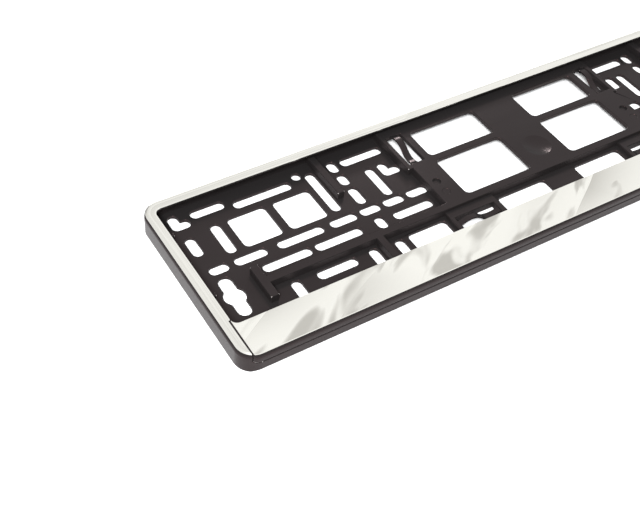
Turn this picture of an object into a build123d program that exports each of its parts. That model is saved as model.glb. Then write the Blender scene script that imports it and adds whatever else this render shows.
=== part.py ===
"""Number plate holder for a car: a slotted base tray with a clip-on lower strip, lying on its back.

X runs along the plate, Y towards its upper edge and Z out of the front face. The origin is in the middle of
the back plane. All sizes are in millimetres.
"""
import os

from build123d import *

# Outline of the whole holder
LENGTH = 532.0
WIDTH = 134.0
DEPTH = 14.5
CORNER_R = 12.0
WALL = 2.0

# Rim section, from the outer face inwards
RAIL = 7.5
LIP = 2.1
EDGE_RUN = 0.9
EDGE_DROP = 3.2
EDGE_BREAK_RUN = 0.35
EDGE_BREAK_DROP = 0.7
CROWN_RISE = 0.6
CROWN_INSET = 2.0
FOIL = 0.2

# Lower strip and its parting line
STRIP_WIDTH = 25.6
STRIP_END_RAIL = 6.6
STRIP_HORN = 3.5
STRIP_SEAT = 7.5
END_STEP_RISE = 1.2
END_STEP_RUN = 2.0
PARTING_GAP = 0.4
GROOVE = 0.35
BEVEL_RUN = 2.2
BEVEL_RISE = 1.3

# Snap tongues, their sockets and the rail that locates the strip
TONGUE_FROM_MIDDLE = (0.0, 74.0, 165.0, 232.0)
TONGUE_LENGTH = 11.0
TONGUE_THICK = 2.0
TONGUE_FROM_FRONT = 9.0
TONGUE_FOOT_GAP = 0.8
SOCKET_GAP = 0.3
COLLAR_WALL = 1.6
COLLAR_TOP = 6.0
WEB_THICK = 1.6
WEB_DROP = 3.2
WEB_INSET = 2.5
LOCATOR_THICK = 1.4
LOCATOR_TOP = 10.0
LOCATOR_END_GAP = 16.0

# Back plate and the raised parts that carry the plate
FLOOR = 2.2
RAISED_TOP = 7.7
RIB_WALL = 1.7
RIB_SKIN = 2.0
SPINE_FRONT = -18.7
SPINE_WIDTH = 5.2
FINGER_FROM_END = 38.9
FINGER_WIDTH = 5.5
FINGER_TOP = -3.4
FINGER_FOOT = -29.3
BAR_FROM_END = 119.5
BAR_WIDTH = 5.0
BAR_FOOT = 25.5
STOP_REACH = 10.0
STOP_THICK = 2.6
STOP_LEVELS = (41.4, -12.0)

# Middle plateau
PLATEAU_HALF = 89.6
SHOULDER = 3.4
SHOULDER_LEVEL = 23.3
PLATEAU_SKIN = 3.0
PLATEAU_WALL = 2.0
WINDOW_FROM_MIDDLE = 17.5
WINDOW_LENGTH = 54.5
WINDOW_LEVELS = ((-12.9, 22.4), (27.8, 53.8))
WINDOW_R = 3.6
WELL_LEVEL = 3.1
WELL_R = 10.0
WELL_DEPTH = 1.6
MARK_FROM_MIDDLE = 82.9
MARK_LEVELS = (5.7, -4.9)
MARK_R = 2.7
MARK_DEPTHS = (1.4, 0.3)

# Wave springs moulded across their own windows
SPRING_THICK = 1.2
UPRIGHT_SPRING_WIDTH = 5.0
UPRIGHT_WINDOW = (77.5, 89.6, 27.1, 55.6)
UPRIGHT_SPRING_LEVEL = 6.6
UPRIGHT_SPRING_WAVE = 2.8
FLAT_SPRING_WIDTH = 4.2
FLAT_BLOCK = (55.8, 93.5, -41.5)
FLAT_WINDOW = (59.2, 90.4, -36.5, -24.9)
FLAT_BLOCK_TOP = 5.0
FLAT_SPRING_LEVEL = 4.2
FLAT_SPRING_WAVE = 3.0
SPRING_ANCHOR = 1.0

# Screw slots. Ends are measured from the holder's end face, levels from its middle line
SLOT_WIDTH = 7.0
SLOT_END_SIDES = 16
SLOT_BITE = 1.5
SLOTS_ALONG = (
    (30.0, 53.5, 55.8),
    (58.0, 100.0, 51.4),
    (139.5, 171.5, 53.5),
    (18.5, 31.5, 8.6),
    (35.5, 58.0, 8.6),
    (65.5, 98.5, 8.6),
    (103.5, 123.0, 8.6),
    (126.0, 141.0, 8.6),
    (143.8, 159.2, 8.6),
    (162.0, 177.6, 8.6),
    (48.0, 82.2, -3.9),
    (85.0, 119.0, -3.9),
    (143.5, 173.4, -3.9),
    (74.0, 102.5, -24.3),
)
SLOTS_UPRIGHT = (
    (20.1, 23.0, 39.6),
    (39.1, 16.3, 42.9),
    (115.0, 17.1, 55.4),
    (133.1, 47.9, 58.2),
    (133.1, 34.6, 45.0),
    (133.1, 15.3, 31.4),
    (153.0, 14.2, 41.7),
    (133.4, -9.5, 1.1),
)
ANGLE_HOLES = (
    (15.2, 27.7, 47.7, 61.0),
    (159.6, 173.0, 29.5, 42.5),
)
ROUND_HOLE = (106.8, 56.2, 3.2)
KEYHOLE_FROM_END = 23.2
KEYHOLE_WIDTH = 9.0
KEYHOLE_SPAN = (-30.5, 1.7)
KEYHOLE_BULGE_R = 7.0
SQUARE_HOLES = (
    (47.8, 74.9, 16.2, 43.0),
    (80.3, 107.5, 16.2, 43.0),
)

# Cut-outs that run in under the strip, with the level of their upper edge
CUTOUT_FROM_FRONT = 17.0
SLOTS_UNDER_STRIP = ((59.6, -20.5), (115.0, -20.5), (133.7, -21.8))
END_CUTOUT = (141.0, 170.5, -21.2)
MIDDLE_CUTOUT = (13.0, 53.0, -21.5)

HALF = LENGTH / 2
TOP = WIDTH / 2
FRONT = -WIDTH / 2
LID = DEPTH - LIP
FACE_EDGE = DEPTH - CROWN_RISE
STRIP_EDGE = FRONT + STRIP_WIDTH
STRIP_HALF = HALF - STRIP_END_RAIL
CUTOUT_FOOT = FRONT + CUTOUT_FROM_FRONT
OVERCUT = 1.0


def block(x0: float, x1: float, y0: float, y1: float, z0: float, z1: float) -> Part:
    """Box between two corners."""
    return Pos((x0 + x1) / 2, (y0 + y1) / 2, (z0 + z1) / 2) * Box(x1 - x0, y1 - y0, z1 - z0)


def end_block(near: float, far: float, y0: float, y1: float, z0: float, z1: float) -> Part:
    """Box at the left end, between two distances from the holder's end face."""
    return block(near - HALF, far - HALF, y0, y1, z0, z1)


def both_ends(shape: Part) -> Part:
    """A shape together with its mirror image at the other end."""
    return shape + mirror(shape, about=Plane.YZ)


def outline(inset: float, z0: float, z1: float) -> Part:
    """Block with the holder's rounded outline, set in by a margin."""
    plan = RectangleRounded(LENGTH - 2 * inset, WIDTH - 2 * inset, CORNER_R - inset)
    return Pos(0, 0, z0) * extrude(plan, z1 - z0)


def opening() -> Part:
    """Cutter for the opening in the lid that shows the plate."""
    span = TOP - RAIL - STRIP_EDGE
    plan = RectangleRounded(LENGTH - 2 * RAIL, span, CORNER_R - RAIL)
    return Pos(0, STRIP_EDGE + span / 2, LID - OVERCUT) * extrude(plan, LIP + 2 * OVERCUT)


def strip_space(gap: float) -> Part:
    """Space that belongs to the strip, grown by a gap at its ends: the ends step in low on the skirt."""
    upper_half = STRIP_HALF + gap
    lower_half = STRIP_HALF - END_STEP_RUN + gap
    low, back, above = FRONT - OVERCUT, STRIP_EDGE + STRIP_HORN + gap, DEPTH + OVERCUT
    step = STRIP_SEAT + END_STEP_RISE
    upper = block(-upper_half, upper_half, low, back, step, above)
    return upper + block(-lower_half, lower_half, low, back, STRIP_SEAT, above)


def round_the_rim(edges: list) -> Part:
    """Sweep a section once round the outline. Its x is the distance in from the outer face."""
    path = RectangleRounded(LENGTH, WIDTH, CORNER_R).face().outer_wire()
    along = path % 0
    plane = Plane(origin=path @ 0, x_dir=Vector(0, 0, 1).cross(along), z_dir=along)
    return sweep(plane * make_face(edges), path=path)


def rim_face() -> list:
    """Corners of the bright face across the rim: outer edge, crown and lip edge."""
    return [(EDGE_RUN, FACE_EDGE), (CROWN_INSET, DEPTH), (RAIL, FACE_EDGE)]


def rim_trim() -> Part:
    """Cutter that leaves the twice bevelled outer edge and the crowned face of the rim."""
    edge_foot = FACE_EDGE - EDGE_DROP
    above = DEPTH + OVERCUT
    outside = [(RAIL, above), (-OVERCUT, above), (-OVERCUT, edge_foot), (0, edge_foot)]
    edge_break = (EDGE_BREAK_RUN, FACE_EDGE - EDGE_BREAK_DROP)
    return round_the_rim(Polyline(*rim_face(), *outside, edge_break, close=True).edges())


def rim_foil_ring() -> Part:
    """Foil all round the rim, let into its face."""
    face = rim_face()
    under = [(x, z - FOIL) for x, z in reversed(face)]
    return round_the_rim(Polyline(*face, *under, close=True).edges())


def strip_foil_sheet() -> Part:
    """Foil on the strip, which is flat out to the edge and has no crown."""
    return (outline(EDGE_RUN, FACE_EDGE - FOIL, FACE_EDGE) & strip_space(0)) - opening()


def front_groove() -> Part:
    """Cutter for the fine groove along the front, where the strip's skirt meets the tray."""
    bar = Box(2 * (HALF - CORNER_R), GROOVE * 2**0.5, GROOVE * 2**0.5)
    return Pos(0, FRONT, STRIP_SEAT) * Rot(45, 0, 0) * bar


def front_bevel() -> Part:
    """Cutter for the bevel on the lower edge of the front wall."""
    corner = [(FRONT, 0), (FRONT + BEVEL_RUN, 0), (FRONT, BEVEL_RISE)]
    return extrude(Plane.YZ * make_face(Polyline(*corner, close=True).edges()), HALF, both=True)


def wave(span: float, level: float, height: float, width: float) -> Part:
    """Ribbon along X with one crest and then one trough, anchored at both ends."""
    start, middle, end = -SPRING_ANCHOR, span / 2, span + SPRING_ANCHOR
    sides = []
    for z in (level - SPRING_THICK / 2, level + SPRING_THICK / 2):
        sides.append(ThreePointArc((start, z), ((start + middle) / 2, z + height), (middle, z)))
        sides.append(ThreePointArc((middle, z), ((middle + end) / 2, z - height), (end, z)))
    ends = [Line(sides[0] @ 0, sides[2] @ 0), Line(sides[1] @ 1, sides[3] @ 1)]
    return extrude(Plane.XZ * make_face([*sides, *ends]), width / 2, both=True)


def upright_spring() -> Part:
    """Wave spring across the window in the plateau's shoulder: the crest is at its upper end."""
    x0, x1, y0, y1 = UPRIGHT_WINDOW
    ribbon = wave(y1 - y0, UPRIGHT_SPRING_LEVEL, UPRIGHT_SPRING_WAVE, UPRIGHT_SPRING_WIDTH)
    return Pos(-(x0 + x1) / 2, y1, 0) * Rot(0, 0, -90) * ribbon


def flat_spring() -> Part:
    """Wave spring beside the strip: the crest is at its outer end."""
    x0, x1, y0, y1 = FLAT_WINDOW
    ribbon = wave(x1 - x0, FLAT_SPRING_LEVEL, FLAT_SPRING_WAVE, FLAT_SPRING_WIDTH)
    return Pos(-x1, (y0 + y1) / 2, 0) * ribbon


def ribs() -> list:
    """Plan corners of the raised hollow ribs at the left end: spine, finger, bar and strip rib."""
    bar_end = BAR_FROM_END + BAR_WIDTH
    plateau_end = HALF - PLATEAU_HALF
    return [
        (FINGER_FROM_END, plateau_end + PLATEAU_WALL, SPINE_FRONT, SPINE_FRONT + SPINE_WIDTH),
        (FINGER_FROM_END, FINGER_FROM_END + FINGER_WIDTH, FINGER_FOOT, FINGER_TOP),
        (BAR_FROM_END, bar_end, BAR_FOOT, TOP - WALL),
        (BAR_FROM_END, bar_end, FRONT + WALL, SPINE_FRONT + SPINE_WIDTH),
    ]


def raised_parts() -> Part:
    """Everything that stands up from the back plate, left end and middle, before it is hollowed."""
    low_half, high_half = PLATEAU_HALF, PLATEAU_HALF + SHOULDER
    raised = block(-low_half, low_half, SPINE_FRONT, TOP - WALL, 0, RAISED_TOP)
    raised += block(-high_half, high_half, SHOULDER_LEVEL, TOP - WALL, 0, RAISED_TOP)
    solids = [end_block(*rib, 0, RAISED_TOP) for rib in ribs()]
    for level in STOP_LEVELS:
        half = STOP_THICK / 2
        solids.append(end_block(WALL, WALL + STOP_REACH, level - half, level + half, 0, RAISED_TOP))
    spring_in, spring_out, spring_foot = FLAT_BLOCK
    solids.append(block(-spring_out, -spring_in, spring_foot, SPINE_FRONT, 0, FLAT_BLOCK_TOP))
    return raised + both_ends(Part() + solids)


def cores() -> Part:
    """Cutters that hollow the raised parts from the back."""
    under = RAISED_TOP - PLATEAU_SKIN
    front, back = SPINE_FRONT + PLATEAU_WALL, TOP - WALL
    half = PLATEAU_HALF - PLATEAU_WALL
    hollow = block(-half, half, front, back, -OVERCUT, under)
    half += SHOULDER
    hollow += block(-half, half, SHOULDER_LEVEL + PLATEAU_WALL, back, -OVERCUT, under)
    solids = []
    for near, far, y0, y1 in ribs():
        inner = (near + RIB_WALL, far - RIB_WALL, y0 + RIB_WALL, y1 - RIB_WALL)
        solids.append(end_block(*inner, -OVERCUT, RAISED_TOP - RIB_SKIN))
    return hollow + both_ends(Part() + solids)


def slot_along(near: float, far: float, level: float) -> Sketch:
    """Round-ended slot along the holder, between two distances from its end face."""
    return Pos((near + far) / 2 - HALF, level) * SlotOverall(far - near, SLOT_WIDTH)


def slot_upright(middle: float, y0: float, y1: float, width: float = SLOT_WIDTH) -> Sketch:
    """Slot across the holder, at a distance from its end face. Its ends are many-sided, which keeps facets few."""
    end_circle = RegularPolygon(width / 2, SLOT_END_SIDES)
    slot = Pos(0, (y0 + y1) / 2) * Rectangle(width, y1 - y0 - width)
    slot += [Pos(0, y) * end_circle for y in (y0 + width / 2, y1 - width / 2)]
    return Pos(middle - HALF, 0) * slot


def window(x0: float, x1: float, y0: float, y1: float) -> Sketch:
    """Rectangular hole with rounded corners."""
    return Pos((x0 + x1) / 2, (y0 + y1) / 2) * RectangleRounded(x1 - x0, y1 - y0, WINDOW_R)


def floor_holes() -> Part:
    """Cutter for every hole in the back plate, left end and middle."""
    field_end = HALF - PLATEAU_HALF + SLOT_BITE
    plan = [slot_along(*slot) for slot in SLOTS_ALONG if slot[1] < field_end]
    plan += [slot_upright(*slot) for slot in SLOTS_UPRIGHT]
    for near, far, y0, y1 in ANGLE_HOLES:
        plan.append(slot_upright(near + SLOT_WIDTH / 2, y0, y1))
        arm = Rot(0, 0, -90) * slot_upright(HALF, near - HALF, far - HALF)
        plan.append(Pos(0, y0 + SLOT_WIDTH / 2) * arm)
    plan += [window(near - HALF, far - HALF, y0, y1) for near, far, y0, y1 in SQUARE_HOLES]
    plan.append(Pos(ROUND_HOLE[0] - HALF, ROUND_HOLE[1]) * Circle(ROUND_HOLE[2]))
    plan.append(slot_upright(KEYHOLE_FROM_END, *KEYHOLE_SPAN, KEYHOLE_WIDTH))
    bulge = RegularPolygon(KEYHOLE_BULGE_R, SLOT_END_SIDES)
    plan.append(Pos(KEYHOLE_FROM_END - HALF, sum(KEYHOLE_SPAN) / 2) * bulge)
    plan += [slot_upright(middle, CUTOUT_FOOT, top) for middle, top in SLOTS_UNDER_STRIP]
    near, far, top = END_CUTOUT
    plan.append(window(near - HALF, far - HALF, CUTOUT_FOOT, top))
    inner, outer, top = MIDDLE_CUTOUT
    plan.append(window(-outer, -inner, CUTOUT_FOOT, top))
    holes = Pos(0, 0, -OVERCUT) * extrude(Sketch() + plan, FLOOR + 2 * OVERCUT)
    return both_ends(holes)


def plateau_holes() -> Part:
    """Cutter for the windows of the plateau and of both kinds of spring."""
    inner, outer = WINDOW_FROM_MIDDLE, WINDOW_FROM_MIDDLE + WINDOW_LENGTH
    plan = [window(-outer, -inner, y0, y1) for y0, y1 in WINDOW_LEVELS]
    for x0, x1, y0, y1 in (UPRIGHT_WINDOW, FLAT_WINDOW):
        plan.append(Pos(-(x0 + x1) / 2, (y0 + y1) / 2) * Rectangle(x1 - x0, y1 - y0))
    return both_ends(Pos(0, 0, -OVERCUT) * extrude(Sketch() + plan, RAISED_TOP + 2 * OVERCUT))


def plateau_marks() -> Part:
    """Cutters for the shallow gate well and the round insert marks on the plateau."""
    dish_r = (WELL_R**2 + WELL_DEPTH**2) / (2 * WELL_DEPTH)
    marks = Part() + Pos(0, WELL_LEVEL, RAISED_TOP - WELL_DEPTH + dish_r) * Sphere(dish_r)
    for level, depth in zip(MARK_LEVELS, MARK_DEPTHS):
        marks += both_ends(Pos(-MARK_FROM_MIDDLE, level, RAISED_TOP) * Cylinder(MARK_R, 2 * depth))
    return marks


def tongue_places() -> list:
    """Distances of the snap tongues from the middle, on both sides."""
    return sorted({side * x for x in TONGUE_FROM_MIDDLE for side in (-1, 1)})


def tongue_block(x: float, margin: float, z0: float, z1: float) -> Part:
    """Block of one tongue's plan, grown by a margin all round."""
    half_length = TONGUE_LENGTH / 2 + margin
    half_thick = TONGUE_THICK / 2 + margin
    y = FRONT + TONGUE_FROM_FRONT
    return block(x - half_length, x + half_length, y - half_thick, y + half_thick, z0, z1)


def locator() -> Part:
    """Upstand behind the strip's skirt, on the tray's front wall."""
    half = STRIP_HALF - LOCATOR_END_GAP
    wall_face = FRONT + WALL
    back = wall_face + SOCKET_GAP + LOCATOR_THICK
    upstand = block(-half, half, wall_face + SOCKET_GAP, back, 0, LOCATOR_TOP)
    return upstand + block(-half, half, wall_face, back, 0, STRIP_SEAT)


def base_tray(foil: Part) -> Part:
    """Tray: rim, lips, slotted back plate, raised ribs and plateau, wave springs and sockets."""
    tray = outline(0, 0, DEPTH) - outline(WALL, FLOOR, LID) - opening()
    tray = tray - strip_space(PARTING_GAP) - rim_trim() - front_groove() - front_bevel() - foil
    tray = tray + raised_parts() + locator()
    collar = SOCKET_GAP + COLLAR_WALL
    tray += [tongue_block(x, collar, 0, COLLAR_TOP) for x in tongue_places()]
    tray = tray - cores() - floor_holes() - plateau_holes() - plateau_marks()
    tray -= [tongue_block(x, SOCKET_GAP, -OVERCUT, COLLAR_TOP + OVERCUT) for x in tongue_places()]
    return tray + both_ends(upright_spring()) + both_ends(flat_spring())


def clip_strip(foil: Part) -> Part:
    """Lower strip: face, front skirt, snap tongues and the webs that stiffen them."""
    strip = (outline(0, STRIP_SEAT, FACE_EDGE) & strip_space(0)) - outline(WALL, 0, LID) - opening()
    strip = strip - rim_trim() - front_groove() - foil
    tongues = [tongue_block(x, 0, TONGUE_FOOT_GAP, LID) for x in tongue_places()]
    half = WEB_THICK / 2
    y0 = FRONT + TONGUE_FROM_FRONT
    y1 = STRIP_EDGE - WEB_INSET
    webs = [block(x - half, x + half, y0, y1, LID - WEB_DROP, LID) for x in tongue_places()]
    return strip + tongues + webs


def main() -> None:
    """Build the pieces and write one file for each."""
    rim_foil = rim_foil_ring() - strip_space(PARTING_GAP)
    strip_foil = strip_foil_sheet()
    pieces = {
        "base_tray": base_tray(rim_foil),
        "clip_strip": clip_strip(strip_foil),
        "rim_foil": rim_foil,
        "strip_foil": strip_foil,
    }
    os.makedirs("parts", exist_ok=True)
    for name, piece in pieces.items():
        piece.label = name
        export_step(piece, f"parts/{name}.step")


main()
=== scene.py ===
"""Looks of a car's number plate holder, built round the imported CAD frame.

The tray and its lower strip are moulded in black plastic, and a bright foil covers the rim and the
strip's face. All lengths are in metres in the CAD frame: X along the plate, Y towards its upper edge and Z
out of the front face.
"""
from __future__ import annotations

import logging
import math
from dataclasses import dataclass
from enum import Enum
from typing import Any

import bmesh
import bpy
from mathutils import Euler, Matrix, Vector
from mathutils.bvhtree import BVHTree
from mathutils.kdtree import KDTree

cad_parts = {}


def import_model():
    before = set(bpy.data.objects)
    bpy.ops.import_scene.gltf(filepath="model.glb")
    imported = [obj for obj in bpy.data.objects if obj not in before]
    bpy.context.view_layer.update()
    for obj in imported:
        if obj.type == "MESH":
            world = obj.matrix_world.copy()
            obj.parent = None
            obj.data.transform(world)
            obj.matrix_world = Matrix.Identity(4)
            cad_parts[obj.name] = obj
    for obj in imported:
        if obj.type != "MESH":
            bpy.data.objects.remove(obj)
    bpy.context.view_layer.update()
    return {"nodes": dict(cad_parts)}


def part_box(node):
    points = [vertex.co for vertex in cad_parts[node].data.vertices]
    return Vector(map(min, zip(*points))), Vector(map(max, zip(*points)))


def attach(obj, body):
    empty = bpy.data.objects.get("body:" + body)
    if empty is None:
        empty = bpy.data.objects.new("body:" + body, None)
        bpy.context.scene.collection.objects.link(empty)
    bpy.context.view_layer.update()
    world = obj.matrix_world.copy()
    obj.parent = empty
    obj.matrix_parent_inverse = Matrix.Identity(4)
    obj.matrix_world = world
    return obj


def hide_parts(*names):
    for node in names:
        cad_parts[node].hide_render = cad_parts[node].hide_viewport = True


LOG = logging.getLogger("number_plate_holder")
MM = 0.001

# Mesh attributes that the finishes read
# Painted glints on the rounded corners
PAINTED_GLINT = "painted_glint"
DULL = "dull"
ACROSS = "across"

# Most values of a noise texture lie in this range
NOISE_RANGE = (0.3, 0.7)

# Sockets of a colour mix node
MIX_FACTOR = 0
MIX_FIRST = 6
MIX_SECOND = 7
MIX_RESULT = 2

# A wave texture turns by this many radians over each unit of its scaled coordinates
WAVE_TURN = 20.0

# Material slot that marks the rounded edges of a moulding while it is built
ROUNDING_SLOT = 1

Triple = tuple[float, float, float]
Colour = Triple


class Body(Enum):
    """The rigid bodies of the CAD frame."""

    BASE = "base"
    STRIP = "strip"


class Slot(Enum):
    """Names for the two material slots."""

    PLASTIC = "black_plastic"
    FOIL = "bright_foil"


class Flow(Enum):
    """The way in which a foil was drawn over its moulding."""

    SLANTED = "slanted"
    ALONG_RAIL = "along_rail"


class Graph:
    """A node tree under construction."""

    def __init__(self, tree: bpy.types.NodeTree) -> None:
        """Start from an empty tree.

        Args:
            tree: The tree to fill.
        """
        self.tree = tree
        tree.nodes.clear()

    def add(self, kind: str, inputs: dict[str | int, Any] | None = None, **settings: Any) -> bpy.types.Node:
        """Add one node and fill in its sockets.

        Args:
            kind: The node's type name.
            inputs: Values or output sockets, by the input's name or index.
            **settings: Properties of the node itself.

        Returns:
            The new node.
        """
        node = self.tree.nodes.new(kind)
        for name, value in settings.items():
            setattr(node, name, value)
        for key, value in (inputs or {}).items():
            if isinstance(value, bpy.types.NodeSocket):
                self.tree.links.new(value, node.inputs[key])
            else:
                node.inputs[key].default_value = value
        return node

    def feed(self, node: bpy.types.Node, values: dict[str, bpy.types.NodeSocket]) -> None:
        """Link output sockets to a node's inputs.

        Args:
            node: The node that takes the values.
            values: Output sockets by the input's name.
        """
        for name, value in values.items():
            self.tree.links.new(value, node.inputs[name])

    def math(self, operation: str, first: Any, second: Any = 0.0, third: Any = 0.0) -> bpy.types.NodeSocket:
        """Combine two or three numbers.

        Args:
            operation: Name of the operation.
            first: A number or an output socket.
            second: A number or an output socket.
            third: A number or an output socket, for an operation on three.

        Returns:
            The socket with the result.
        """
        inputs = {0: first, 1: second, 2: third}
        return self.add("ShaderNodeMath", inputs, operation=operation).outputs[0]

    def noise(
        self, place: bpy.types.NodeSocket, size: float, detail: float, stir: float = 0.0
    ) -> bpy.types.NodeSocket:
        """Make soft noise.

        Args:
            place: The coordinates.
            size: Length of the noise's largest waves.
            detail: How much finer noise is added.
            stir: How far the waves are bent.

        Returns:
            The socket with the noise.
        """
        inputs = {"Vector": place, "Scale": 1.0 / size, "Detail": detail, "Distortion": stir}
        return self.add("ShaderNodeTexNoise", inputs).outputs[0]

    def ramp(
        self, value: bpy.types.NodeSocket, start: float, end: float, low: float = 0.0, high: float = 1.0
    ) -> bpy.types.NodeSocket:
        """Rise softly from one level to another.

        Args:
            value: The number that is mapped.
            start: Where the rise begins.
            end: Where the rise ends.
            low: Result before the rise.
            high: Result after the rise.

        Returns:
            The socket with the result.
        """
        inputs = {"Value": value, "From Min": start, "From Max": end, "To Min": low, "To Max": high}
        return self.add("ShaderNodeMapRange", inputs, interpolation_type="SMOOTHSTEP").outputs["Result"]

    def attribute(self, name: str) -> bpy.types.NodeSocket:
        """Read one of the piece's mesh attributes.

        Args:
            name: The attribute's name.

        Returns:
            The socket with the value.
        """
        return self.add("ShaderNodeAttribute", attribute_name=name).outputs["Fac"]

    def spread(self, value: bpy.types.NodeSocket, low: float, high: float) -> bpy.types.NodeSocket:
        """Map a noise value to a range.

        Args:
            value: The noise.
            low: Result for low noise.
            high: Result for high noise.

        Returns:
            The socket with the result.
        """
        start, end = NOISE_RANGE
        inputs = {"Value": value, "From Min": start, "From Max": end, "To Min": low, "To Max": high}
        return self.add("ShaderNodeMapRange", inputs).outputs["Result"]

    def tint(
        self, factor: bpy.types.NodeSocket, first: bpy.types.NodeSocket | Colour, second: Colour
    ) -> bpy.types.NodeSocket:
        """Blend two colours.

        Args:
            factor: Share of the second colour.
            first: Colour at 0, or the socket that gives it.
            second: Colour at 1.

        Returns:
            The socket with the colour.
        """
        start = first if isinstance(first, bpy.types.NodeSocket) else (*first, 1.0)
        inputs = {MIX_FACTOR: factor, MIX_FIRST: start, MIX_SECOND: (*second, 1.0)}
        return self.add("ShaderNodeMix", inputs, data_type="RGBA").outputs[MIX_RESULT]


def new_material(name: str) -> tuple[bpy.types.Material, Graph, bpy.types.Node]:
    """Start a material.

    Args:
        name: The material's name.

    Returns:
        The material, its graph and its main shader.
    """
    material = bpy.data.materials.new(name)
    material.use_nodes = True
    graph = Graph(material.node_tree)
    shader = graph.add("ShaderNodeBsdfPrincipled")
    graph.add("ShaderNodeOutputMaterial", {"Surface": shader.outputs["BSDF"]})
    return material, graph, shader


@dataclass(frozen=True)
class MouldedPlastic:
    """Black moulded plastic: half-gloss, duller on the inner walls, with painted pale glints on the rounded
    corners.
    """

    name: str = "black_moulded_plastic"
    deep: Colour = (0.0132, 0.0121, 0.0123)
    worn: Colour = (0.0168, 0.0154, 0.0156)
    # Colour of the painted glints on the rounded corners
    painted_glint: Colour = (0.42, 0.40, 0.39)
    sheen: Colour = (1.0, 0.55, 0.54)
    ior: float = 1.24
    grain: float = 0.45 * MM
    grain_detail: float = 2.0
    grain_share: float = 0.35
    grain_height: float = 0.008 * MM
    grain_strength: float = 0.3
    flow: float = 38.0 * MM
    flow_detail: float = 3.0
    flow_stir: float = 0.6
    flow_draw: float = 0.35
    smooth: float = 0.17
    rough: float = 0.27
    wall_rough: float = 0.30

    def material(self) -> bpy.types.Material:
        """Build the finish.

        Returns:
            The material.
        """
        material, graph, shader = new_material(self.name)
        place = graph.add("ShaderNodeTexCoord").outputs["Object"]
        grain = graph.noise(place, self.grain, self.grain_detail)
        drawn = graph.add("ShaderNodeMapping", {"Vector": place, "Scale": (self.flow_draw, 1.0, 1.0)})
        flow = graph.noise(drawn.outputs[0], self.flow, self.flow_detail, self.flow_stir)
        flow_part = graph.math("MULTIPLY", flow, 1.0 - self.grain_share)
        both = graph.math("MULTIPLY_ADD", grain, self.grain_share, flow_part)
        skin = graph.tint(graph.spread(both, 0.0, 1.0), self.deep, self.worn)
        gloss = graph.spread(both, self.smooth, self.rough)
        relief = {"Height": grain, "Strength": self.grain_strength, "Distance": self.grain_height}
        graph.feed(shader, {
            # Pale painted glints on the rounded corners
            "Base Color": graph.tint(graph.attribute(PAINTED_GLINT), skin, self.painted_glint),
            "Roughness": graph.math("MULTIPLY_ADD", graph.attribute(DULL), self.wall_rough, gloss),
            "Normal": graph.add("ShaderNodeBump", relief).outputs[0],
        })
        shader.inputs["IOR"].default_value = self.ior
        shader.inputs["Specular Tint"].default_value = (*self.sheen, 1.0)
        return material


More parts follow.
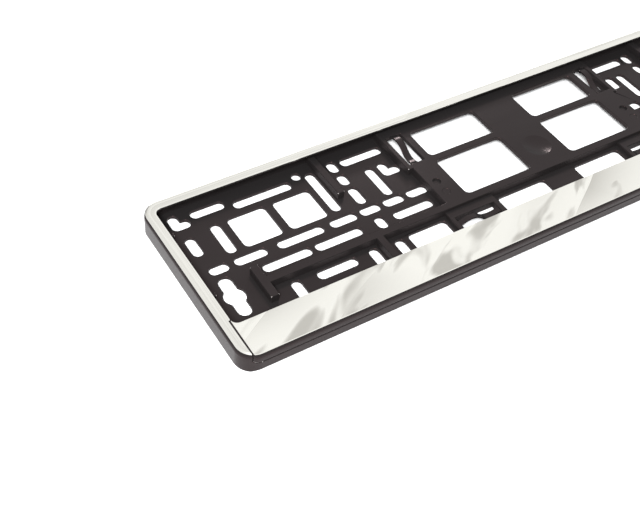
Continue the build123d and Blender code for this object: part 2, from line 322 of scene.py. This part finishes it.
@dataclass(frozen=True)
class BrightFoil:
    """Bright hot-stamped foil: warm white metal with painted grey reflections in soft streaks and slanted
    fold lines, and fine brush lines.

    The painted reflections lie only on the face, between two distances from the holder's outline. The edges
    stay pale and serve as painted highlight lines.
    """

    name: str
    flow: Flow
    face: tuple[float, float]
    pale: Colour = (0.955, 0.945, 0.885)
    # Colour of the painted reflections
    grey: Colour = (0.58, 0.565, 0.52)
    streak: float = 14.0 * MM
    streak_detail: float = 2.0
    streak_stir: float = 0.6
    streak_draw: float = 0.3
    streak_range: tuple[float, float] = (0.50, 0.68)
    streak_height: float = 0.25 * MM
    slant: float = math.radians(30.0)
    shift: float = 300.0 * MM
    fold: float = 42.0 * MM
    fold_detail: float = 1.0
    fold_stir: float = 2.5
    fold_weakness: float = -0.3
    fold_strength: float = 0.9
    patch: float = 90.0 * MM
    patch_detail: float = 0.0
    brush: float = 0.9 * MM
    brush_detail: float = 2.0
    brush_draw: float = 0.03
    smooth: float = 0.08
    rough: float = 0.20

    def material(self) -> bpy.types.Material:
        """Build the finish.

        Returns:
            The material.
        """
        material, graph, shader = new_material(self.name)
        place = graph.add("ShaderNodeTexCoord").outputs["Object"]
        turn = {"Vector": place, "Location": (self.shift, 0.0, 0.0), "Rotation": (0.0, 0.0, -self.slant)}
        turned = graph.add("ShaderNodeMapping", turn).outputs[0]
        drawn = self.drawn(graph, turned, self.streak_draw)
        streak = graph.noise(drawn, self.streak, self.streak_detail, self.streak_stir)
        brush = graph.noise(self.drawn(graph, place, self.brush_draw), self.brush, self.brush_detail)
        # Painted reflections: soft grey streaks and fold lines, on the face only
        streaks = graph.ramp(streak, *self.streak_range)
        painted_reflections = graph.math("MAXIMUM", streaks, self.fold_reflections(graph, place, turned))
        shade = graph.math("MULTIPLY", painted_reflections, self.on_face(graph))
        relief = {"Height": streak, "Strength": 1.0, "Distance": self.streak_height}
        graph.feed(shader, {
            "Base Color": graph.tint(shade, self.pale, self.grey),
            "Roughness": graph.spread(brush, self.smooth, self.rough),
            "Normal": graph.add("ShaderNodeBump", relief).outputs[0],
        })
        shader.inputs["Metallic"].default_value = 1.0
        return material

    def fold_reflections(
        self, graph: Graph, place: bpy.types.NodeSocket, turned: bpy.types.NodeSocket
    ) -> bpy.types.NodeSocket:
        """Paint the grey reflections of the fold lines, which fade out from patch to patch.

        Args:
            graph: The material's graph.
            place: Coordinates of the patches.
            turned: Coordinates with the folds' slant.

        Returns:
            The socket with the shade.
        """
        inputs = {"Vector": turned, "Scale": math.tau / (WAVE_TURN * self.fold)}
        inputs |= {"Distortion": self.fold_stir, "Detail": self.fold_detail}
        wave = graph.add("ShaderNodeTexWave", inputs, bands_direction="Y", wave_profile="SAW")
        depth = wave.outputs["Fac"]
        patch = graph.noise(place, self.patch, self.patch_detail)
        strength = graph.spread(patch, self.fold_weakness, self.fold_strength)
        return graph.math("MULTIPLY", graph.math("MULTIPLY", depth, depth), strength)

    def on_face(self, graph: Graph) -> bpy.types.NodeSocket:
        """Tell the face, which carries the painted reflections, from the pale edges, which serve as painted
        highlight lines.

        Args:
            graph: The material's graph.

        Returns:
            The socket with 1 on the face and 0 on the edges.
        """
        across = graph.attribute(ACROSS)
        past_outer = graph.math("GREATER_THAN", across, self.face[0])
        before_inner = graph.math("LESS_THAN", across, self.face[1])
        return graph.math("MULTIPLY", past_outer, before_inner)

    def drawn(self, graph: Graph, place: bpy.types.NodeSocket, draw: float) -> bpy.types.NodeSocket:
        """Stretch coordinates along the way in which the foil was drawn.

        Args:
            graph: The material's graph.
            place: The coordinates.
            draw: Scale along the drawn way, under 1 for long marks.

        Returns:
            The socket with the stretched coordinates.
        """
        if self.flow is Flow.SLANTED:
            return graph.add("ShaderNodeMapping", {"Vector": place, "Scale": (draw, 1.0, 1.0)}).outputs[0]
        slow = graph.add("ShaderNodeMapping", {"Vector": place, "Scale": (draw, draw, 0.0)}).outputs[0]
        level = graph.add("ShaderNodeCombineXYZ", {"Z": graph.attribute(ACROSS)}).outputs[0]
        return graph.add("ShaderNodeVectorMath", {0: slow, 1: level}, operation="ADD").outputs[0]


@dataclass(frozen=True)
class StudioPaper:
    """Plain white backdrop paper with a faint tooth."""

    name: str = "studio_paper"
    pale: Colour = (0.90, 0.905, 0.91)
    tooth: Colour = (0.87, 0.875, 0.88)
    size: float = 2.0 * MM
    detail: float = 2.0
    rough: float = 0.9

    def material(self) -> bpy.types.Material:
        """Build the finish.

        Returns:
            The material.
        """
        material, graph, shader = new_material(self.name)
        place = graph.add("ShaderNodeTexCoord").outputs["Object"]
        shade = graph.spread(graph.noise(place, self.size, self.detail), 0.0, 1.0)
        graph.feed(shader, {"Base Color": graph.tint(shade, self.pale, self.tooth)})
        shader.inputs["Roughness"].default_value = self.rough
        return material


def link_mesh(name: str, bm: bmesh.types.BMesh) -> bpy.types.Object:
    """Put a finished bmesh into the scene, at the origin.

    Args:
        name: Name of the piece.
        bm: The shape, which is freed.

    Returns:
        The new object.
    """
    mesh = bpy.data.meshes.new(name)
    bm.to_mesh(mesh)
    bm.free()
    piece = bpy.data.objects.new(name, mesh)
    bpy.context.scene.collection.objects.link(piece)
    return piece


def welded(
    node: bpy.types.Object, weld: float = 0.002 * MM, flat: float = math.radians(0.2)
) -> bmesh.types.BMesh:
    """Copy a CAD node's loose triangles and join them into one skin of large flat faces.

    Args:
        node: The CAD node.
        weld: Points nearer than this become one.
        flat: Faces that turn by less than this become one.

    Returns:
        The copy.
    """
    bm = bmesh.new()
    bm.from_mesh(node.data)
    bmesh.ops.remove_doubles(bm, verts=bm.verts, dist=weld)
    bmesh.ops.dissolve_limit(bm, angle_limit=flat, verts=[], edges=bm.edges)
    return bm


def freeze(piece: bpy.types.Object) -> None:
    """Turn a piece's modifiers into plain mesh.

    Args:
        piece: The piece, which keeps its place.
    """
    evaluated = piece.evaluated_get(bpy.context.evaluated_depsgraph_get())
    mesh = bpy.data.meshes.new_from_object(evaluated)
    piece.modifiers.clear()
    piece.data = mesh


class Surface(Enum):
    """How a face of a moulding meets its neighbours in the shading."""

    BROAD = "broad"
    PLAIN = "plain"
    BLENDED = "blended"


# Kinds of face that meet at a crisp edge
CRISP = {Surface.BROAD, Surface.PLAIN}


@dataclass(frozen=True)
class SolidShading:
    """Shading that keeps flat faces flat and blends curved walls, roundings and the rolled edge of the rim.

    The upright part of a face's normal tells whether it is level, steep or slanted. Slanted faces above the
    rim's foot belong to its edge and lead the blend with the wall. A broad level face meets a dished one at
    a crisp edge.
    """

    rim_foot: float = 10.4 * MM
    steep: float = 0.8
    slanted: float = 0.3
    level: float = 0.9995
    broad_area: float = 100.0 * MM * MM
    rounding_limit: float = math.radians(50.0)
    rolled_limit: float = math.radians(40.0)
    wall_limit: float = math.radians(26.0)
    rounding_weight: float = 1e-6
    leading_weight: float = 1e4

    def judge(self, face: bpy.types.MeshPolygon) -> tuple[float, float, Surface]:
        """Decide how a face is blended.

        Args:
            face: A face of a piece with its roundings in a material slot of their own.

        Returns:
            The face's weight, the cosine of the widest angle that it is blended over, and its kind.
        """
        rise = abs(face.normal.z)
        if face.material_index == ROUNDING_SLOT:
            return face.area * self.rounding_weight, math.cos(self.rounding_limit), Surface.BLENDED
        above = face.center.z > self.rim_foot
        kind = Surface.BLENDED if above else Surface.PLAIN
        if face.area > self.broad_area and rise > self.level:
            kind = Surface.BROAD
        if not above or rise >= self.steep:
            return face.area, math.cos(self.wall_limit), kind
        leads = face.normal.z > self.slanted
        return face.area * (self.leading_weight if leads else 1.0), math.cos(self.rolled_limit), kind

    def apply(self, piece: bpy.types.Object) -> None:
        """Set the piece's normals.

        Args:
            piece: The rounded piece.
        """
        faces = piece.data.polygons
        normals = [face.normal.copy() for face in faces]
        weights, limits, kinds = zip(*[self.judge(face) for face in faces])
        around: list[list[int]] = [[] for _ in piece.data.vertices]
        for face in faces:
            for vertex in face.vertices:
                around[vertex].append(face.index)
        corners = []
        for face in faces:
            own, limit, kind = normals[face.index], limits[face.index], kinds[face.index]
            for vertex in face.vertices:
                near = [other for other in around[vertex]
                        if own.dot(normals[other]) > limit and {kind, kinds[other]} != CRISP]
                blend = sum((normals[other] * weights[other] for other in near), Vector())
                corners.append(blend.normalized())
        piece.data.normals_split_custom_set(corners)


@dataclass
class Moulding:
    """A plastic moulding with softened edges, made from its CAD node."""

    node: str
    piece_name: str
    body: Body
    finish: bpy.types.Material
    edge_radius: float = 0.45 * MM
    edge_steps: int = 2
    lowest_edge: float = 1.9 * MM
    highest_edge: float = 11.9 * MM
    sharp_angle: float = math.radians(40.0)
    corner_edges: int = 3
    # How far the painted glint spreads from a corner, in rounding radii
    glint_reach: float = 1.7
    wall_slope: float = 0.5
    sliver: float = 0.0005 * MM
    shading: SolidShading = SolidShading()

    def build(self, nodes: dict[str, bpy.types.Object]) -> bpy.types.Object:
        """Copy the node and round its outer edges.

        Args:
            nodes: The CAD nodes by name.

        Returns:
            The piece.
        """
        bm = welded(nodes[self.node])
        weight = bm.edges.layers.float.new("bevel_weight_edge")
        for edge in bm.edges:
            edge[weight] = 1.0 if self.is_soft(edge) else 0.0
        for face in bm.faces:
            face.smooth = True
        corners = [vert.co.copy() for vert in bm.verts
                   if sum(edge[weight] for edge in vert.link_edges) >= self.corner_edges]
        piece = link_mesh(self.piece_name, bm)
        piece.data.materials.append(self.finish)
        piece.data.materials.append(None)
        rounding = piece.modifiers.new("rounding", "BEVEL")
        rounding.limit_method = "WEIGHT"
        rounding.width = self.edge_radius
        rounding.segments = self.edge_steps
        rounding.use_clamp_overlap = False
        rounding.material = ROUNDING_SLOT
        freeze(piece)
        self.clean(piece)
        self.shading.apply(piece)
        self.mark_glints_and_dull_walls(piece, corners)
        return piece

    def clean(self, piece: bpy.types.Object) -> None:
        """Take out the slivers that rounding leaves and keep the piece within its node's box.

        Args:
            piece: The rounded piece.
        """
        low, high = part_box(self.node)
        bm = bmesh.new()
        bm.from_mesh(piece.data)
        bmesh.ops.remove_doubles(bm, verts=bm.verts, dist=self.sliver)
        bmesh.ops.dissolve_degenerate(bm, edges=bm.edges, dist=self.sliver)
        for vert in bm.verts:
            vert.co = [min(max(along, start), end) for along, start, end in zip(vert.co, low, high)]
        bm.to_mesh(piece.data)
        bm.free()

    def mark_glints_and_dull_walls(self, piece: bpy.types.Object, corners: list[Vector]) -> None:
        """Mark the rounded corners, which carry a painted pale glint, and the walls inside the piece, which
        are dull.

        Args:
            piece: The rounded piece.
            corners: The corners before rounding.
        """
        mesh = piece.data
        near = KDTree(len(corners))
        for index, corner in enumerate(corners):
            near.insert(corner, index)
        near.balance()
        points = [vert.co for vert in mesh.vertices]
        skin = BVHTree.FromPolygons(points, [face.vertices for face in mesh.polygons])
        reach = self.glint_reach * self.edge_radius
        glinting, dull = [], []
        for face in mesh.polygons:
            found = [near.find(points[index]) for index in face.vertices]
            one_corner = len({index for _, index, _ in found}) == 1
            # A face that lies round a single corner carries that corner's painted glint
            glinting.append(float(one_corner and all(distance < reach for _, _, distance in found)))
            outside = face.center + face.normal * self.edge_radius
            faces_wall = skin.ray_cast(outside, face.normal)[0] is not None
            dull.append(float(faces_wall and abs(face.normal.z) < self.wall_slope))
        for name, values in ((PAINTED_GLINT, glinting), (DULL, dull)):
            mesh.attributes.new(name, "FLOAT", "FACE").data.foreach_set("value", values)

    def is_soft(self, edge: bmesh.types.BMEdge) -> bool:
        """Tell whether an edge is an outer edge that the mould rounds.

        Args:
            edge: An edge of the welded skin.

        Returns:
            True for a sharp outer edge between the back plate and the lips.
        """
        heights = [vert.co.z for vert in edge.verts]
        inside = min(heights) > self.lowest_edge and max(heights) < self.highest_edge
        return inside and edge.is_manifold and edge.is_convex and edge.calc_face_angle() > self.sharp_angle

    def dress(self, piece: bpy.types.Object) -> None:
        """Give the piece its finish and tie it to its body.

        Args:
            piece: The built piece.
        """
        piece.data.materials.pop(index=ROUNDING_SLOT)
        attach(piece, self.body.value)
        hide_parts(self.node)


@dataclass
class FoilSkin:
    """A thin bright foil on a moulding, with the slight ripple that stamping leaves."""

    node: str
    piece_name: str
    body: Body
    finish: bpy.types.Material
    cell: float = 3.0 * MM
    ripple_height: float = 0.05 * MM
    ripple_length: float = 30.0 * MM
    ripple_detail: float = 1.0
    sharp_angle: float = math.radians(12.0)
    seed: float = 4.0
    end_margin: float = 0.0
    touch: float = 0.001 * MM
    cut_weld: float = 0.0001 * MM
    outline_node: str = "base_tray"
    outline_radius: float = 12.0 * MM

    def build(self, nodes: dict[str, bpy.types.Object]) -> bpy.types.Object:
        """Cut the node's skin into small cells and ripple them.

        Args:
            nodes: The CAD nodes by name.

        Returns:
            The piece.
        """
        bm = welded(nodes[self.node])
        low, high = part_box(self.node)
        for vert in bm.verts:
            if self.end_margin and high[0] - abs(vert.co.x) < self.touch:
                vert.co.x = math.copysign(high[0] - self.end_margin, vert.co.x)
        for axis, normal in enumerate((Vector((1.0, 0.0, 0.0)), Vector((0.0, 1.0, 0.0)))):
            count = int((high[axis] - low[axis]) / self.cell)
            for step in range(1, count):
                point = normal * (low[axis] + step * (high[axis] - low[axis]) / count)
                cut = [*bm.verts, *bm.edges, *bm.faces]
                bmesh.ops.bisect_plane(bm, geom=cut, dist=self.cut_weld, plane_co=point, plane_no=normal)
        for face in bm.faces:
            face.smooth = True
        piece = link_mesh(self.piece_name, bm)
        self.ripple(piece)
        freeze(piece)
        piece.data.set_sharp_from_angle(angle=self.sharp_angle)
        self.mark_across(piece)
        return piece

    def mark_across(self, piece: bpy.types.Object) -> None:
        """Note how far each point lies in from the holder's rounded outline.

        Args:
            piece: The foil.
        """
        reach = Vector(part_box(self.outline_node)[1])
        core = (reach.x - self.outline_radius, reach.y - self.outline_radius)
        beyond = [Vector([max(abs(along) - half, 0.0) for along, half in zip(vert.co.xy, core)])
                  for vert in piece.data.vertices]
        inset = [self.outline_radius - step.length for step in beyond]
        piece.data.attributes.new(ACROSS, "FLOAT", "POINT").data.foreach_set("value", inset)

    def ripple(self, piece: bpy.types.Object) -> None:
        """Add the modifier that lets the foil dip a little.

        Args:
            piece: The cut skin.
        """
        tree = bpy.data.node_groups.new(f"{self.piece_name}_ripple", "GeometryNodeTree")
        outer = tree.interface
        outer.new_socket("Geometry", in_out="INPUT", socket_type="NodeSocketGeometry")
        outer.new_socket("Geometry", in_out="OUTPUT", socket_type="NodeSocketGeometry")
        values = {"Height": self.ripple_height, "Length": self.ripple_length, "Seed": self.seed}
        sockets = {name: outer.new_socket(name, in_out="INPUT", socket_type="NodeSocketFloat")
                   for name in values}
        finish = outer.new_socket("Finish", in_out="INPUT", socket_type="NodeSocketMaterial")
        graph = Graph(tree)
        given = graph.add("NodeGroupInput").outputs
        place = graph.add("GeometryNodeInputPosition").outputs[0]
        scale = graph.math("DIVIDE", 1.0, given["Length"])
        noise_inputs = {"Vector": place, "W": given["Seed"], "Scale": scale, "Detail": self.ripple_detail}
        noise = graph.add("ShaderNodeTexNoise", noise_inputs, noise_dimensions="4D")
        dip = graph.math("MULTIPLY", graph.math("SUBTRACT", noise.outputs[0], 1.0), given["Height"])
        offset = graph.add("ShaderNodeCombineXYZ", {"Z": dip}).outputs[0]
        moved = graph.add("GeometryNodeSetPosition", {"Geometry": given["Geometry"], "Offset": offset})
        real = graph.add("GeometryNodeRealizeInstances", {"Geometry": moved.outputs[0]})
        done_inputs = {"Geometry": real.outputs[0], "Material": given["Finish"]}
        done = graph.add("GeometryNodeSetMaterial", done_inputs)
        graph.add("NodeGroupOutput", {"Geometry": done.outputs[0]})
        modifier = piece.modifiers.new("ripple", "NODES")
        modifier.node_group = tree
        for name, value in values.items():
            modifier[sockets[name].identifier] = value
        modifier[finish.identifier] = self.finish

    def dress(self, piece: bpy.types.Object) -> None:
        """Tie the foil to its body.

        Args:
            piece: The built piece.
        """
        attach(piece, self.body.value)
        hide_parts(self.node)


@dataclass(frozen=True)
class Softbox:
    """A square area light."""

    name: str
    place: Triple
    aim: Triple
    size: float
    power: float

    def build(self) -> None:
        """Put the light into the scene."""
        data = bpy.data.lights.new(self.name, "AREA")
        data.energy = self.power
        data.size = self.size
        lamp = bpy.data.objects.new(self.name, data)
        lamp.location = self.place
        lamp.rotation_mode = "QUATERNION"
        lamp.rotation_quaternion = (Vector(self.aim) - Vector(self.place)).to_track_quat("-Z", "Y")
        bpy.context.scene.collection.objects.link(lamp)


@dataclass
class Studio:
    """Pale floor, soft lights and the camera."""

    camera_place: Triple = (-437.5 * MM, -357.4 * MM, 464.6 * MM)
    camera_turn: Triple = (42.557, -4.242, -31.803)
    focal_pixels: float = 1041.6
    image_width: float = 640.0
    sensor: float = 36.0
    floor_half: float = 6.0
    floor_drop: float = 0.05 * MM
    sky_dark: float = 0.50
    sky_light: float = 0.98
    sky_low: float = 0.20
    sky_high: float = 0.55
    sky_waver: float = 0.10
    sky_folds: float = 6.0
    sky_detail: float = 2.0
    lights: tuple[Softbox, ...] = (
        Softbox("key", place=(-0.95, -0.80, 1.25), aim=(-0.1, 0.0, 0.0), size=0.45, power=47.0),
        Softbox("back", place=(0.36, 0.63, 0.36), aim=(0.0, 0.0, 0.0), size=0.10, power=1.7),
    )

    def build(self) -> None:
        """Set up everything that isn't the holder."""
        self.build_floor()
        self.build_sky()
        for light in self.lights:
            light.build()
        self.build_camera()

    def build_floor(self) -> None:
        """Lay the paper under the holder."""
        bm = bmesh.new()
        bmesh.ops.create_grid(bm, x_segments=2, y_segments=2, size=self.floor_half)
        bmesh.ops.translate(bm, verts=bm.verts, vec=(0.0, 0.0, -self.floor_drop))
        floor = link_mesh("studio_floor", bm)
        floor.data.materials.append(StudioPaper().material())

    def build_sky(self) -> None:
        """Surround the scene with white light that is a little uneven, as in a tent of cloth."""
        world = bpy.data.worlds.new("studio_sky")
        world.use_nodes = True
        graph = Graph(world.node_tree)
        way = graph.add("ShaderNodeTexCoord").outputs["Generated"]
        cloth = graph.noise(way, 1.0 / self.sky_folds, self.sky_detail)
        height = graph.add("ShaderNodeSeparateXYZ", {"Vector": way}).outputs["Z"]
        rise = graph.math("ADD", height, graph.spread(cloth, -self.sky_waver, self.sky_waver))
        light = graph.ramp(rise, self.sky_low, self.sky_high, self.sky_dark, self.sky_light)
        tent = graph.add("ShaderNodeBackground", {"Color": (1.0, 1.0, 1.0, 1.0), "Strength": light})
        graph.add("ShaderNodeOutputWorld", {"Surface": tent.outputs[0]})
        bpy.context.scene.world = world
        bpy.context.scene.view_settings.view_transform = "Standard"

    def build_camera(self) -> None:
        """Put the camera where the photograph was taken from."""
        data = bpy.data.cameras.new("camera")
        data.sensor_width = self.sensor
        data.lens = self.focal_pixels / self.image_width * self.sensor
        camera = bpy.data.objects.new("camera", data)
        camera.location = self.camera_place
        camera.rotation_euler = Euler([math.radians(angle) for angle in self.camera_turn])
        bpy.context.scene.collection.objects.link(camera)
        bpy.context.scene.camera = camera


def main() -> None:
    """Build the pieces round the CAD frame, set up the studio and keep the sizes."""
    logging.basicConfig(level=logging.INFO, format="%(name)s: %(message)s")
    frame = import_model()
    plastic = MouldedPlastic().material()
    strip_finish = BrightFoil("strip_stamped_foil", Flow.SLANTED, face=(1.5 * MM, 25.0 * MM))
    rim_finish = BrightFoil(
        "rim_stamped_foil",
        Flow.ALONG_RAIL,
        face=(1.2 * MM, 6.8 * MM),
        pale=(0.905, 0.895, 0.84),
        # Colour of the rim's painted reflections
        grey=(0.73, 0.72, 0.67),
        streak=3.2 * MM,
        streak_draw=0.012,
        streak_range=(0.32, 0.68),
        streak_height=0.02 * MM,
        fold_strength=0.4,
    )
    strip_foil, rim_foil = strip_finish.material(), rim_finish.material()
    assemblies = [
        Moulding("base_tray", "tray_moulding", Body.BASE, plastic),
        Moulding("clip_strip", "strip_moulding", Body.STRIP, plastic),
        FoilSkin("rim_foil", "rim_bright_foil", Body.BASE, rim_foil),
        FoilSkin("strip_foil", "strip_bright_foil", Body.STRIP, strip_foil, end_margin=0.8 * MM),
    ]
    for assembly in assemblies:
        piece = assembly.build(frame["nodes"])
        assembly.dress(piece)
        LOG.info("%s: %d faces", piece.name, len(piece.data.polygons))
    Studio().build()


if __name__ == "__main__":
    main()
